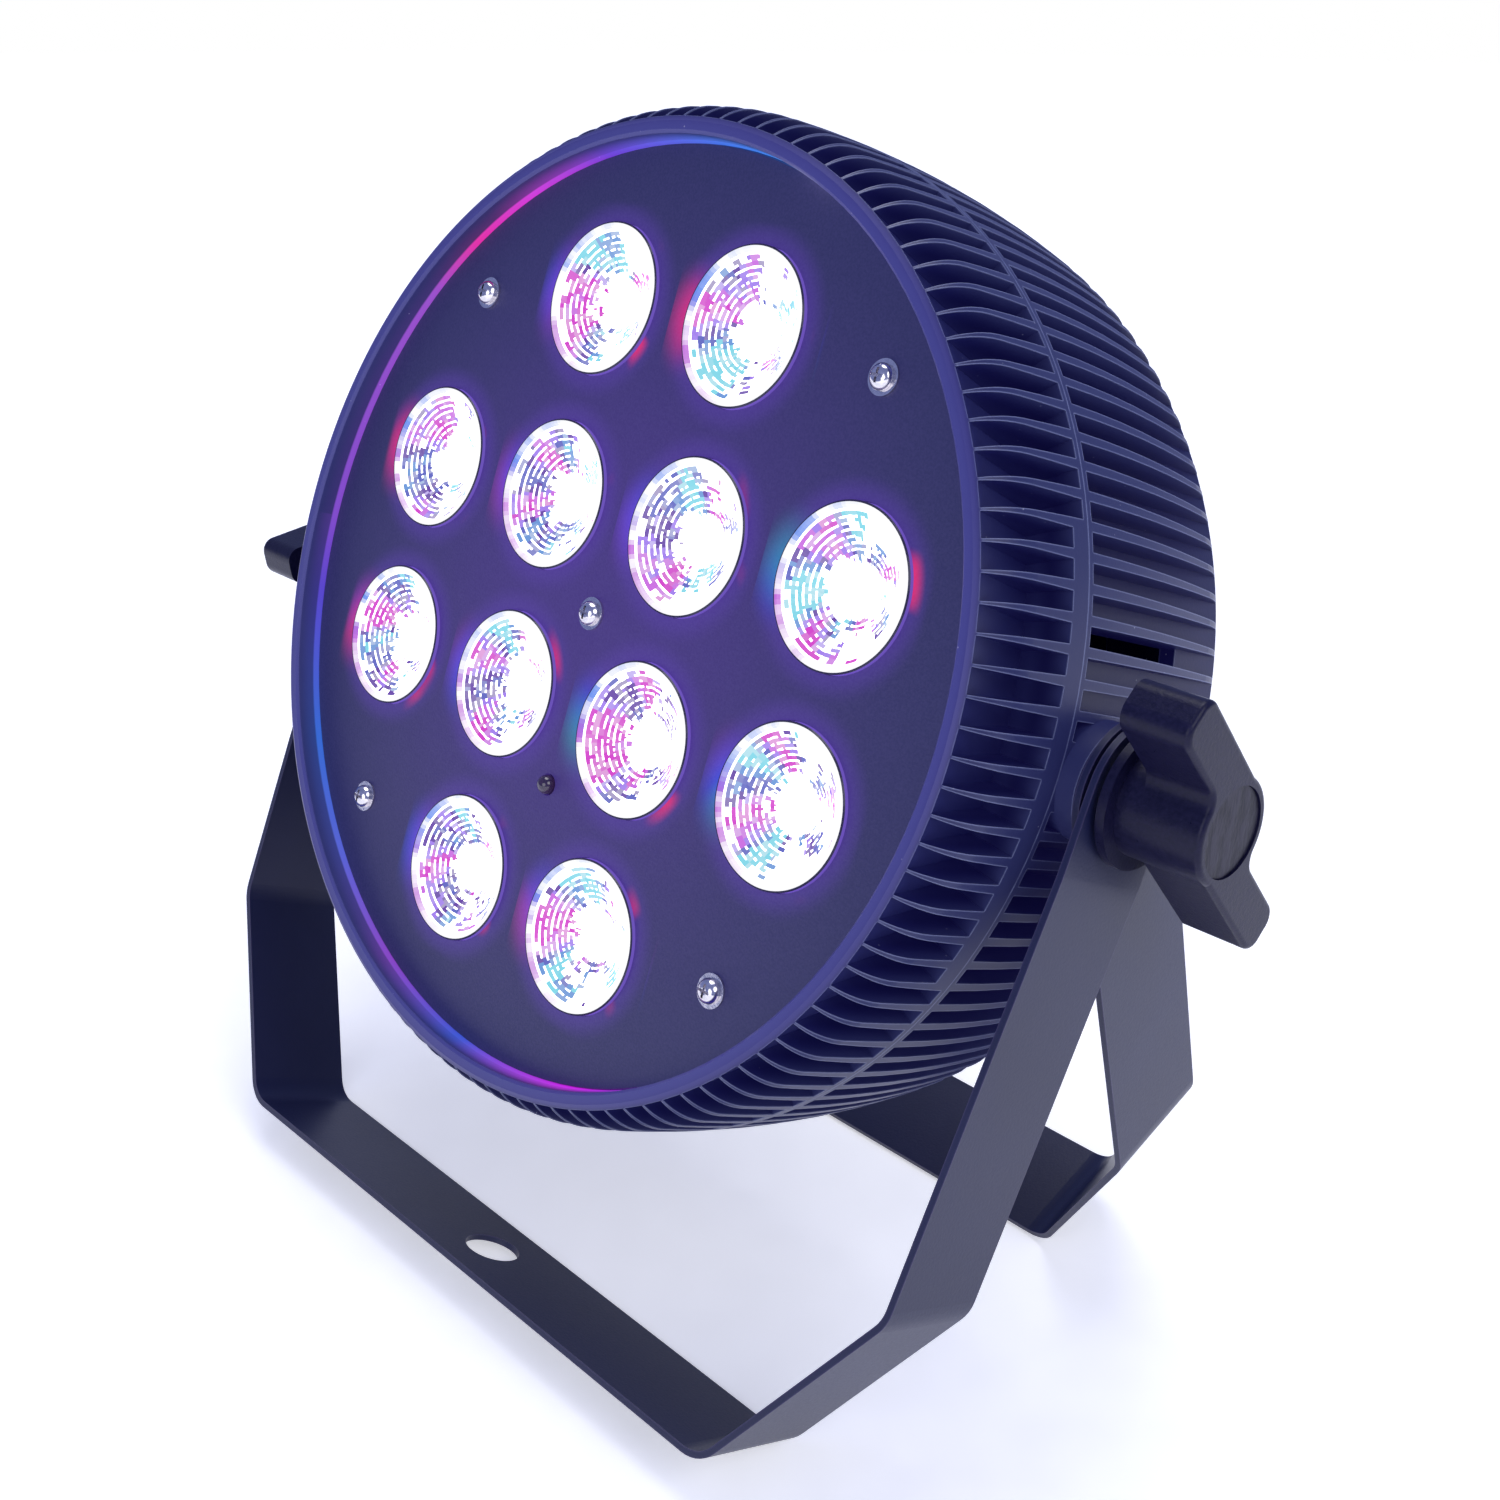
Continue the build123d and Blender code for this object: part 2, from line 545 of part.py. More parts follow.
def mains_pins():
    pin = block(2.0, BACK_Y - 12.97, BACK_Y - 1, 4.0)
    places = [(MAINS_X - 6.8, SOCKET_Z - 2), (MAINS_X, SOCKET_Z + 2), (MAINS_X + 6.8, SOCKET_Z - 2)]
    return group(spread(pin, places))


def fuse_drawer():
    """The fuse's small drawer, in its own housing beside the mains inlet."""
    drawer = block(9, 36, BACK_Y + 1, 12) + block(12, BACK_Y + 0.03, BACK_Y + 2.0, 15)
    drawer -= block(6, BACK_Y + 1.2, BACK_Y + 3, 1.6)
    return Pos(FUSE_X, 0, SOCKET_Z) * drawer


def signal_flange():
    return block(25, BACK_Y + 0.03, BACK_Y + 2.0, 29)


def signal_in_socket():
    """The plug-side signal connector: an open barrel round three pins."""
    body = rod(SIGNAL_R, 34, BACK_Y + 1) + signal_flange()
    body -= rod(8.8, BACK_Y - 11, BACK_Y + 5)
    return Pos(SIGNAL_IN_X, 0, SOCKET_Z) * body


def signal_in_pins():
    pin = rod(1.2, BACK_Y - 10.97, BACK_Y - 1)
    places = [(SIGNAL_IN_X + x, SOCKET_Z + z) for x, z in SIGNAL_PIN_PLACES]
    return group(spread(pin, places))


def signal_out_socket():
    """The socket-side signal connector: a solid face with three pin holes."""
    body = rod(SIGNAL_R, 34, BACK_Y + 1) + signal_flange()
    body -= rod(9.2, BACK_Y + 1.2, BACK_Y + 5)
    body = body - [rod(1.5, BACK_Y - 10, BACK_Y + 5, x, z) for x, z in SIGNAL_PIN_PLACES]
    return Pos(SIGNAL_OUT_X, 0, SOCKET_Z) * body


def power_supply_board():
    return block(92, 14.0, 15.6, 34, z=-60.0)


def power_supply_parts():
    """The tall parts of the supply: transformer, two capacitors and a choke."""
    base = 15.62
    transformer = block(22, base, 29, 20, -10, -60)
    capacitors = [rod(6, base, 30, x, -60) for x in (16, 32)]
    return group([transformer, *capacitors, block(12, base, 25, 14, -36, -60)])


# ------------------------------------------------------------------ place and write
def build():
    """Every node by name, in the part's own frame."""
    head = {
        "front_shell": front_shell(),
        "rear_shell": rear_shell(),
        "front_panel": front_panel(),
        "lens_holders": group(spread(lens_holder(), LENS_CENTRES)),
        "panel_screws": group(spread(panel_screw(), PANEL_SCREWS)),
        "panel_washers": group(spread(panel_washer(), PANEL_SCREWS)),
        "panel_standoffs": group(spread(standoff(), PANEL_SCREWS)),
        "led_board": led_board(),
        "led_emitters": group(spread(led_emitter(), LENS_CENTRES)),
        "heat_sink": heat_sink(),
        "ir_receiver": ir_receiver(),
        "ir_board": ir_board(),
        "friction_washers": friction_washers(),
        "fan_frame": fan_frame(),
        "fan_rotor": fan_rotor(),
        "fan_screws": group(spread(fan_screw(), FAN_SCREWS)),
        "rear_plate": rear_plate(),
        "rear_plate_screws": group(spread(rear_plate_screw(), REAR_SCREWS)),
        "shell_screws": group(spread(shell_screw(), POSTS)),
        "display_window": display_window(),
        "display_module": display_module(),
        "control_board": control_board(),
        "control_board_spacers": control_board_spacers(),
        "button_switches": button_switches(),
        "mains_inlet": mains_inlet(),
        "mains_pins": mains_pins(),
        "fuse_drawer": fuse_drawer(),
        "signal_in_socket": signal_in_socket(),
        "signal_in_pins": signal_in_pins(),
        "signal_out_socket": signal_out_socket(),
        "power_supply_board": power_supply_board(),
        "power_supply_parts": power_supply_parts(),
    }
    for index, (x, z) in enumerate(LENS_CENTRES):
        head[f"lens_{index + 1:02d}"] = Pos(x, 0, z) * lens()
    for name, x in zip(BUTTON_NAMES, BUTTON_XS):
        head[f"button_{name}"] = Pos(x, 0, BUTTON_Z) * button()
    turn_round = Rot(0, 0, 180)
    for name, piece in (("pivot_insert", pivot_insert()), ("knob", knob()), ("bolt", knob_bolt()),
                        ("knob_cap", knob_cap()), ("knob_washer", knob_washer())):
        head[f"{name}_right"] = piece
        head[f"{name}_left"] = turn_round * piece

    lift = Pos(0, 0, PIVOT_HEIGHT)
    nodes = {name: lift * Rot(-HEAD_TILT, 0, 0) * shape for name, shape in head.items()}
    front = strap_bracket(FRONT_DROP, FRONT_FOOT, FRONT_KNEE, FRONT_TOP_X)
    rear = strap_bracket(REAR_DROP, REAR_FOOT, REAR_KNEE, REAR_TOP_X)
    nodes["front_bracket"] = lift * Rot(-FRONT_LEAN, 0, 0) * front
    nodes["rear_bracket"] = lift * Rot(REAR_LEAN, 0, 0) * rear

    boxes = [shape.bounding_box() for shape in nodes.values()]
    middle_y = (min(box.min.Y for box in boxes) + max(box.max.Y for box in boxes)) / 2
    print(f"pivot axis at y {-middle_y:.3f}, z {PIVOT_HEIGHT:.3f}; rear lean {REAR_LEAN:.3f}")
    return {name: Pos(0, -middle_y, 0) * shape for name, shape in nodes.items()}


def write(nodes):
    os.makedirs("parts", exist_ok=True)
    for name, shape in nodes.items():
        export_step(shape, f"parts/{name}.step")


write(build())
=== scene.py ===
import json
import random
from math import atan2, cos, pi, radians, sin

import bmesh
import bpy
from mathutils import Matrix, Vector, noise


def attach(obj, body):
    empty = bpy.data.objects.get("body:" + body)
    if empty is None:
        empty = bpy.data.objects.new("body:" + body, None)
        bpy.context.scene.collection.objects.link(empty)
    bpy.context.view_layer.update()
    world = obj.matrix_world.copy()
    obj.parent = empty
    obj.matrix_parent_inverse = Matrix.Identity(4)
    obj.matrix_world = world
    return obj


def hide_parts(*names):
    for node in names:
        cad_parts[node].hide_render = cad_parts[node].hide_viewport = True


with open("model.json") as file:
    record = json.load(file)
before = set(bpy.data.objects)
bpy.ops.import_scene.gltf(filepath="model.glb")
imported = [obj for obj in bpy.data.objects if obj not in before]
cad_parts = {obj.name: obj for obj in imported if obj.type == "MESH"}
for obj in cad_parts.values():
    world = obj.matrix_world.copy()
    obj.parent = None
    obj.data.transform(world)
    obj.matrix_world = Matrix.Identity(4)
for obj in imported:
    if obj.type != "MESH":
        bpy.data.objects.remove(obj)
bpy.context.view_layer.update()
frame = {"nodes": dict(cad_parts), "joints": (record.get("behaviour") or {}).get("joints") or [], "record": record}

# Looks of an LED par can light. Metres, +Z up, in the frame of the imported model.
# The head is a body of revolution about its own Y axis, so its pieces and patterns
# are worked out in the head's frame: origin at the middle of the pivot axis,
# X right, Y back, Z up, and then tilted onto the brackets.

NODES = frame["nodes"]
JOINTS = {joint["name"]: joint for joint in frame["joints"]}
PIVOT = Vector(JOINTS["head_tilt"]["pos_m"])
HEAD_BACK = Vector(JOINTS["fan_spin"]["axis"])
HEAD_TILT = atan2(-HEAD_BACK.z, HEAD_BACK.y)
HEAD = Matrix.Translation(PIVOT) @ Matrix.Rotation(-HEAD_TILT, 4, "X")
MM = 0.001

# ----------------------------------------------------------------- camera and light
CAMERA_PLACE = (0.2935, -0.2693, 0.2950)
CAMERA_HEADING = radians(45.86)
CAMERA_PITCH = radians(23.92)
CAMERA_ROLL = radians(0.38)
CAMERA_LENS = 43.02
LAMP_AIM = Vector((0, 0, 0.14))

FLOOR_SIZE = 12.0
NEAR_FLOOR = 0.4
FAR_FLOOR = 1.6
NEAR_GLOW = 0.50
ADDED_GLOW = 0.45


def head_box(node):
    """Lowest and highest corner of a CAD node, measured in the head's frame."""
    level = HEAD.inverted()
    corners = [level @ vertex.co for vertex in NODES[node].data.vertices]
    low = Vector([min(c[i] for c in corners) for i in range(3)])
    high = Vector([max(c[i] for c in corners) for i in range(3)])
    return low, high


def make_camera():
    """A camera in front of the object, to its right and a little above it."""
    camera = bpy.data.objects.new("camera", bpy.data.cameras.new("camera"))
    bpy.context.scene.collection.objects.link(camera)
    turn = Matrix.Rotation(CAMERA_HEADING, 4, "Z")
    turn @= Matrix.Rotation(pi / 2 - CAMERA_PITCH, 4, "X")
    turn @= Matrix.Rotation(CAMERA_ROLL, 4, "Z")
    camera.matrix_world = Matrix.Translation(CAMERA_PLACE) @ turn
    camera.data.lens = CAMERA_LENS
    camera.data.sensor_width = 36.0
    camera.data.clip_start = 0.01
    bpy.context.scene.camera = camera


def area_light(name, place, size, power):
    """A round soft lamp aimed at the middle of the object."""
    lamp = bpy.data.lights.new(name, "AREA")
    lamp.shape = "DISK"
    lamp.size = size
    lamp.energy = power
    light = bpy.data.objects.new(name, lamp)
    light.location = place
    light.rotation_mode = "QUATERNION"
    light.rotation_quaternion = (LAMP_AIM - Vector(place)).to_track_quat("-Z", "Y")
    bpy.context.scene.collection.objects.link(light)


def make_studio():
    """A white backdrop, a dim bluish surround, three soft lamps and a pale floor.

    The floor glows more with distance, so that it meets the backdrop without an edge.
    """
    scene = bpy.context.scene
    scene.view_settings.view_transform = "Standard"
    world = bpy.data.worlds.new("studio")
    scene.world = world
    world.use_nodes = True
    tree = world.node_tree
    surround = tree.nodes["Background"]
    surround.inputs["Color"].default_value = (0.20, 0.24, 0.50, 1.0)
    backdrop = tree.nodes.new("ShaderNodeBackground")
    backdrop.inputs["Color"].default_value = (1.0, 1.0, 1.0, 1.0)
    seen = tree.nodes.new("ShaderNodeLightPath")
    pick = tree.nodes.new("ShaderNodeMixShader")
    tree.links.new(seen.outputs["Is Camera Ray"], pick.inputs[0])
    tree.links.new(surround.outputs[0], pick.inputs[1])
    tree.links.new(backdrop.outputs[0], pick.inputs[2])
    tree.links.new(pick.outputs[0], tree.nodes["World Output"].inputs["Surface"])
    area_light("key", (1.3, -0.1, 1.1), 1.0, 7)
    area_light("top", (-0.2, 0.3, 1.8), 1.2, 14)
    area_light("fill", (0.5, -1.6, 0.7), 1.2, 7)

    mesh = bmesh.new()
    bmesh.ops.create_circle(mesh, cap_ends=True, segments=96, radius=FLOOR_SIZE / 2)
    floor = add_object("floor", mesh)
    graph = Graph("floor")
    grain = graph.noise(90.0, detail=3)
    colour = graph.ramp(grain, (0.3, (0.915, 0.915, 0.915)), (0.7, (0.945, 0.945, 0.945)))
    distance = graph.add("VectorMath", {0: graph.place}, out="Value", operation="LENGTH")
    far = graph.times(graph.between(distance, NEAR_FLOOR, FAR_FLOOR), ADDED_GLOW)
    strength = graph.math("ADD", far, NEAR_GLOW)
    floor.data.materials.append(graph.principled(
        colour, 0.85, glow=colour, glow_strength=strength, Specular_IOR_Level=0.0))


# ------------------------------------------------------------------ mesh and material
def add_object(name, mesh):
    """Turns a bmesh into an object whose vertices are where they belong."""
    data = bpy.data.meshes.new(name)
    mesh.to_mesh(data)
    mesh.free()
    made = bpy.data.objects.new(name, data)
    bpy.context.scene.collection.objects.link(made)
    return made


class Graph:
    """One material's nodes. Each call adds a node and returns one of its sockets."""

    def __init__(self, name):
        self.material = bpy.data.materials.new(name)
        self.material.use_nodes = True
        self.tree = self.material.node_tree
        self.tree.nodes.clear()
        self.place = self.add("TexCoord", out="Object")

    def add(self, kind, inputs=None, out=0, **settings):
        made = self.tree.nodes.new("ShaderNode" + kind)
        for name, value in settings.items():
            setattr(made, name, value)
        for name, value in (inputs or {}).items():
            if isinstance(value, bpy.types.NodeSocket):
                self.tree.links.new(value, made.inputs[name])
            else:
                made.inputs[name].default_value = value
        return made.outputs[out]

    def math(self, operation, *values):
        return self.add("Math", dict(enumerate(values)), operation=operation)

    def times(self, *values):
        total = values[0]
        for value in values[1:]:
            total = self.math("MULTIPLY", total, value)
        return total

    def between(self, value, low, high):
        """0 below low, 1 above high and smooth in between; low may be the larger one."""
        inputs = {"Value": value, "From Min": low, "From Max": high}
        return self.add("MapRange", inputs, interpolation_type="SMOOTHSTEP")

    def mix(self, factor, first, second):
        colours = [c if isinstance(c, bpy.types.NodeSocket) else (*c, 1.0) for c in (first, second)]
        inputs = {0: factor, 6: colours[0], 7: colours[1]}
        return self.add("Mix", inputs, out=2, data_type="RGBA")

    def ramp(self, value, *stops):
        made = self.tree.nodes.new("ShaderNodeValToRGB")
        elements = made.color_ramp.elements
        while len(elements) < len(stops):
            elements.new(0.5)
        for element, (position, colour) in zip(elements, stops):
            element.position = position
            element.color = (*colour, 1.0)
        self.tree.links.new(value, made.inputs["Fac"])
        return made.outputs["Color"]

    def noise(self, scale, detail=2.0, roughness=0.5, stretch=None):
        place = self.place
        if stretch:
            place = self.add("Mapping", {"Vector": place, "Scale": stretch})
        inputs = {"Vector": place, "Scale": scale, "Detail": detail, "Roughness": roughness}
        return self.add("TexNoise", inputs, out="Fac")

    def cells(self, scale, feature="F1", randomness=1.0):
        inputs = {"Vector": self.place, "Scale": scale, "Randomness": randomness}
        return self.add("TexVoronoi", inputs, out="Distance", feature=feature)

    def bump(self, height, distance, strength):
        inputs = {"Height": height, "Distance": distance, "Strength": strength}
        return self.add("Bump", inputs)

    def head_place(self):
        """The head's own coordinates in millimetres."""
        inputs = {
            "Vector": self.place, "Location": PIVOT,
            "Rotation": (-HEAD_TILT, 0, 0), "Scale": (MM, MM, MM),
        }
        return self.add("Mapping", inputs, vector_type="TEXTURE")

    def head_axes(self):
        """Distances right, back and up from the pivot in the head's frame, and off its axis."""
        axes = self.tree.nodes.new("ShaderNodeSeparateXYZ")
        self.tree.links.new(self.head_place(), axes.inputs[0])
        x, y, z = axes.outputs
        reach = self.math("SQRT", self.math("ADD", self.times(x, x), self.times(z, z)))
        return x, y, z, reach

    def edges(self, width):
        """1 along outward edges, 0 on open faces."""
        inputs = {"Distance": width}
        open_share = self.add(
            "AmbientOcclusion", inputs, out="AO", inside=True, only_local=True, samples=6)
        return self.between(open_share, 0.85, 0.45)

    def principled(self, colour, roughness, normal=None, glow=None, glow_strength=1.0, **sockets):
        inputs = {
            "Base Color": colour if isinstance(colour, bpy.types.NodeSocket) else (*colour, 1.0),
            "Roughness": roughness,
        }
        if normal:
            inputs["Normal"] = normal
        if glow:
            inputs["Emission Color"] = glow
            inputs["Emission Strength"] = glow_strength
        inputs.update({name.replace("_", " "): value for name, value in sockets.items()})
        shader = self.add("BsdfPrincipled", inputs)
        output = self.tree.nodes.new("ShaderNodeOutputMaterial")
        self.tree.links.new(shader, output.inputs["Surface"])
        return self.material


make_camera()
make_studio()


# ------------------------------------------------------------------------- materials
# Places on the head in millimetres: radii from its axis, and Y from the pivots.
WALL_R = 105.0
VALLEY_R = 109.0
RIB_TOP_R = 113.5
RIM_FACE_Y = -39.1
PANEL_FACE_Y = -34.0
RECESS_Y = -31.0
DOME_Y = 52.0
LENS_PITCH = 45.0
LENS_EDGE_R = 17.0
OPTIC_GLOW = 3.0
BLACK = (0.0, 0.0, 0.0)
# Colour of a faint painted glow over the shell, which lifts its shade to navy.
SHELL_PAINTED_GLOW = (0.0022, 0.0018, 0.020)


def shell_plastic():
    """Blue-black moulded plastic, with painted highlights on the rib tops and outward edges,
    painted light in the front valleys, a faint painted navy glow and a painted sheen on the rim face.

    The coloured light of the lenses is painted on the wall of the front recess as a glow. This
    painted light changes round the wall, and angle runs from 0 to 1 round the head's axis, starting on the left.
    """
    graph = Graph("shell_plastic")
    x, y, z, reach = graph.head_axes()
    angle = graph.math("ADD", graph.math("DIVIDE", graph.math("ARCTAN2", z, x), 2 * pi), 0.5)
    # Painted light: the lenses' coloured light glows on the recess wall and its edge by the panel, with a painted
    # white highlight in it.
    wall = graph.times(
        graph.between(reach, WALL_R, WALL_R - 0.4), graph.between(y, RECESS_Y, RECESS_Y - 1.0))
    light = graph.ramp(
        angle,
        (0.00, (0.20, 0.05, 0.50)), (0.03, (0.08, 0.04, 0.50)), (0.09, (0.02, 0.12, 0.55)),
        (0.14, (0.08, 0.10, 0.55)), (0.19, (0.22, 0.04, 0.45)), (0.24, (0.03, 0.08, 0.55)),
        (0.30, (0.55, 0.01, 0.70)), (0.345, (0.05, 0.02, 0.45)), (0.42, (0.01, 0.005, 0.09)),
        (0.62, (0.02, 0.02, 0.16)), (0.685, (0.20, 0.25, 0.90)), (0.698, (3.0, 3.0, 3.6)),
        (0.712, (0.04, 0.24, 0.80)), (0.745, (0.05, 0.17, 0.75)), (0.80, (0.14, 0.04, 0.60)),
        (0.84, (0.60, 0.03, 0.62)), (0.872, (0.75, 0.01, 0.30)), (0.90, (0.30, 0.06, 0.50)),
        (1.00, (0.20, 0.05, 0.50)),
    )
    spread = graph.ramp(
        angle, (0.17, (0.3, 0.3, 0.3)), (0.24, (1, 1, 1)), (0.33, (1, 1, 1)), (0.40, (0.1, 0.1, 0.1)),
        (0.68, (0.9, 0.9, 0.9)), (0.80, (0.9, 0.9, 0.9)), (0.86, (0.12, 0.12, 0.12)))
    broad_glow = graph.times(graph.between(y, -39.5, -33.8), spread, 0.8)
    thin_line = graph.between(y, PANEL_FACE_Y - 0.7, PANEL_FACE_Y)
    near_panel = graph.math("MAXIMUM", thin_line, broad_glow)
    # Painted light: a faint navy glow over the shell, fading out towards the rear dome.
    depth = graph.mix(graph.between(y, DOME_Y, DOME_Y - 12.0), BLACK, SHELL_PAINTED_GLOW)
    # Painted sheen: a violet glow on the rim's front face, added to the shell's painted glow.
    shell_and_rim_glow = graph.mix(graph.between(y, RIM_FACE_Y + 0.9, RIM_FACE_Y), depth, (0.022, 0.016, 0.105))
    glow = graph.mix(graph.times(wall, near_panel), shell_and_rim_glow, light)
    edge_highlight = graph.edges(0.00045)
    grain = graph.noise(1400.0, detail=3, roughness=0.6)
    broad = graph.noise(38.0, detail=3)
    specks = graph.between(graph.cells(210.0), 0.045, 0.02)
    base = graph.ramp(broad, (0.3, (0.0038, 0.0048, 0.042)), (0.7, (0.0064, 0.0080, 0.058)))
    # Painted highlight: the rib tops are made lighter.
    rib_top_highlight = graph.between(reach, VALLEY_R, RIB_TOP_R)
    base = graph.mix(graph.times(rib_top_highlight, 0.8), base, (0.027, 0.033, 0.090))
    # Painted light: the front valleys are made lighter.
    in_valley = graph.between(reach, VALLEY_R, VALLEY_R - 4.0)
    valley_light_mask = graph.times(in_valley, graph.between(y, 2.0, -4.0))
    base = graph.mix(valley_light_mask, base, (0.030, 0.036, 0.125))
    # Painted highlight: lighter along outward edges.
    base = graph.mix(graph.times(edge_highlight, 0.75), base, (0.24, 0.27, 0.42))
    base = graph.mix(graph.times(specks, 0.5), base, (0.5, 0.5, 0.55))
    rough = graph.math("ADD", graph.times(broad, 0.10), 0.34)
    return graph.principled(
        base, rough, normal=graph.bump(grain, 0.00004, 0.5), glow=glow, glow_strength=1.0,
        Specular_IOR_Level=0.34)


def panel_paint():
    """Matte powder coat on the front panel and the rear plate.

    The front panel has painted light glowing on it: a violet haze, a halo round each lens, a
    coloured flare on the left of most lenses and a few red sparks on the right. Its place within
    one square of the lens grid is across and up, in lens pitches from the nearest lens centre.
    """
    graph = Graph("panel_paint")
    x, y, z, reach = graph.head_axes()
    across = graph.math("FRACT", graph.math("DIVIDE", x, LENS_PITCH))
    across = graph.math("SUBTRACT", across, 0.5)
    up = graph.math("FRACT", graph.math("DIVIDE", z, LENS_PITCH))
    up = graph.math("SUBTRACT", up, 0.5)
    off_lens = graph.math("ADD", graph.times(across, across), graph.times(up, up))
    off_lens = graph.times(graph.math("SQRT", off_lens), LENS_PITCH)
    nearer = graph.math("MINIMUM", graph.math("ABSOLUTE", x), graph.math("ABSOLUTE", z))
    farther = graph.math("MAXIMUM", graph.math("ABSOLUTE", x), graph.math("ABSOLUTE", z))
    at_lens = graph.times(
        graph.between(nearer, LENS_PITCH + 1.0, LENS_PITCH - 1.0),
        graph.between(farther, 2 * LENS_PITCH, 2 * LENS_PITCH - 2.0))
    # Painted light: the haze, halos, flares and sparks below glow on the panel.
    halo = graph.times(graph.between(off_lens, LENS_EDGE_R + 6.5, LENS_EDGE_R), at_lens)
    middle = graph.between(reach, 104.0, 16.0)
    haze = graph.ramp(middle, (0.0, (0.014, 0.016, 0.085)), (1.0, (0.046, 0.021, 0.190)))
    haze = graph.mix(graph.times(halo, 0.55), haze, (0.085, 0.035, 0.36))
    hue = graph.noise(21.0, detail=0)
    flare_colour = graph.ramp(
        hue, (0.38, (0.0, 0.38, 0.40)), (0.46, (0.03, 0.07, 0.85)), (0.54, (0.18, 0.04, 0.75)),
        (0.64, (0.85, 0.01, 0.20)))
    left = graph.times(
        graph.between(across, -0.20, -0.42),
        graph.between(off_lens, LENS_EDGE_R + 8.5, LENS_EDGE_R - 1.0))
    height = graph.between(graph.math("ABSOLUTE", up), 0.34, 0.0)
    flare = graph.times(left, height, at_lens, 0.85)
    right = graph.between(across, 0.20, 0.36)
    sparks = graph.times(graph.between(off_lens, LENS_EDGE_R + 3.5, LENS_EDGE_R), right, at_lens)
    sparks = graph.times(sparks, graph.between(graph.noise(75.0, detail=0), 0.60, 0.78))
    glow = graph.mix(sparks, haze, (0.85, 0.02, 0.16))
    glow = graph.mix(flare, glow, flare_colour)
    glow = graph.mix(graph.between(y, RECESS_Y + 1.0, RECESS_Y), BLACK, glow)
    grain = graph.noise(1900.0, detail=2)
    base = graph.ramp(grain, (0.35, (0.010, 0.008, 0.026)), (0.65, (0.020, 0.016, 0.045)))
    return graph.principled(
        base, 0.46, normal=graph.bump(grain, 0.00006, 0.7), glow=glow, glow_strength=0.85,
        Specular_IOR_Level=0.45)


def bracket_paint():
    """Fine satin powder coat on the straps, with a painted highlight along the edges."""
    graph = Graph("bracket_paint")
    grain = graph.noise(1500.0, detail=2, roughness=0.6)
    cloud = graph.noise(26.0, detail=3)
    base = graph.ramp(cloud, (0.3, (0.0065, 0.0085, 0.042)), (0.7, (0.0095, 0.0125, 0.055)))
    edge_highlight = graph.edges(0.0005)
    # Painted highlight: lighter along outward edges.
    base = graph.mix(graph.times(edge_highlight, 0.45), base, (0.10, 0.08, 0.17))
    rough = graph.math("ADD", graph.times(grain, 0.12), 0.34)
    return graph.principled(
        base, rough, normal=graph.bump(grain, 0.00006, 0.55), Specular_IOR_Level=0.42)


def knob_plastic():
    """Spark-eroded black plastic."""
    graph = Graph("knob_plastic")
    grain = graph.noise(1100.0, detail=4, roughness=0.7)
    base = graph.ramp(grain, (0.35, (0.004, 0.004, 0.022)), (0.7, (0.010, 0.009, 0.036)))
    rough = graph.math("ADD", graph.times(grain, 0.25), 0.20)
    return graph.principled(
        base, rough, normal=graph.bump(grain, 0.00010, 0.6), Specular_IOR_Level=0.20)


def knob_cap_plastic():
    """The cap in the knob's face, rubbed rough in short strokes."""
    graph = Graph("knob_cap_plastic")
    strokes = graph.noise(420.0, detail=3, roughness=0.7, stretch=(0.4, 1.0, 0.35))
    base = graph.ramp(strokes, (0.42, (0.004, 0.004, 0.014)), (0.62, (0.030, 0.028, 0.046)))
    rough = graph.math("ADD", graph.times(strokes, 0.4), 0.15)
    return graph.principled(
        base, rough, normal=graph.bump(strokes, 0.0002, 0.7), Specular_IOR_Level=0.14)


def plain(name, colour, shade, roughness, scale=600.0, metallic=0.0, **sockets):
    """A moulded, plated or machined finish: two close colours, uneven gloss, fine bump."""
    graph = Graph(name)
    grain = graph.noise(scale, detail=3, roughness=0.6)
    base = graph.ramp(grain, (0.35, shade), (0.65, colour))
    rough = graph.math("ADD", graph.times(grain, 0.16), roughness - 0.08)
    return graph.principled(
        base, rough, normal=graph.bump(grain, 0.00004, 0.5), Metallic=metallic, **sockets)


def washer_plating():
    """Bright plated steel with a dark rim."""
    graph = Graph("washer_steel")
    grain = graph.noise(700.0, detail=3, roughness=0.6)
    base = graph.ramp(grain, (0.35, (0.62, 0.62, 0.66)), (0.65, (0.82, 0.82, 0.84)))
    base = graph.mix(graph.edges(0.00035), base, (0.02, 0.02, 0.05))
    rough = graph.math("ADD", graph.times(grain, 0.16), 0.26)
    return graph.principled(base, rough, normal=graph.bump(grain, 0.00004, 0.5), Metallic=1.0)


def emitter():
    """Yellow phosphor dice, lit."""
    graph = Graph("led_emitter")
    dice = graph.cells(700.0)
    base = graph.ramp(dice, (0.2, (1.0, 0.9, 0.6)), (0.8, (0.9, 0.75, 0.35)))
    return graph.principled(base, 0.3, glow=base, glow_strength=2.0)


def circuit_board():
    """Green solder mask with paler tracks."""
    graph = Graph("circuit_board")
    tracks = graph.cells(260.0, feature="DISTANCE_TO_EDGE", randomness=0.6)
    base = graph.ramp(tracks, (0.04, (0.03, 0.16, 0.09)), (0.09, (0.01, 0.07, 0.04)))
    return graph.principled(base, 0.35, normal=graph.bump(tracks, 0.00005, 0.4))


def lens_optic():
    """The faceted bowl behind the lens face, with the light of its emitter painted on as a glow."""
    graph = Graph("lens_optic")
    tint = graph.add("Attribute", out="Color", attribute_name="light")
    ripple = graph.noise(800.0, detail=2)
    return graph.principled(
        (0.02, 0.02, 0.03), 0.2, normal=graph.bump(ripple, 0.00003, 0.4), glow=tint,
        glow_strength=OPTIC_GLOW, Specular_IOR_Level=0.3)


